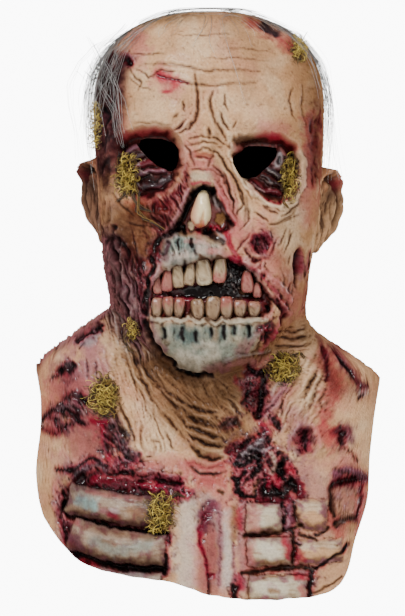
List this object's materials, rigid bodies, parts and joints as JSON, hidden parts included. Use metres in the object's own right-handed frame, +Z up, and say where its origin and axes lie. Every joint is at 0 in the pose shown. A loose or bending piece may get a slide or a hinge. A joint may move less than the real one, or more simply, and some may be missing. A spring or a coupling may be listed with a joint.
{
  "type": "zombie mask",
  "caption": "Full overhead zombie mask of cast latex with eye holes, a hollow nose, bared teeth, ears and a chest bib with open ribs, dressed with moss tufts and sparse hair.",
  "frame": {"origin": "inside the top of the crown, where the wearer's head bears; the mask hangs below it", "axes": "+Z up the head from the hem to the crown, -Y out of the face, +X to the viewer's right"},
  "size_m": [0.2819, 0.2205, 0.4822],
  "materials": {
    "painted_latex": "satin, painted",
    "moss": "matt, fibrous",
    "hair": "satin strands"
  },
  "bodies": {
    "root": {"latex_skin": "painted_latex", "moss_crown": "moss", "moss_temple": "moss", "moss_left_eye": "moss", "moss_right_eye": "moss", "moss_jaw": "moss", "moss_collar": "moss", "moss_throat": "moss", "moss_rib": "moss", "hair_locks": "hair"}
  },
  "joints": []
}
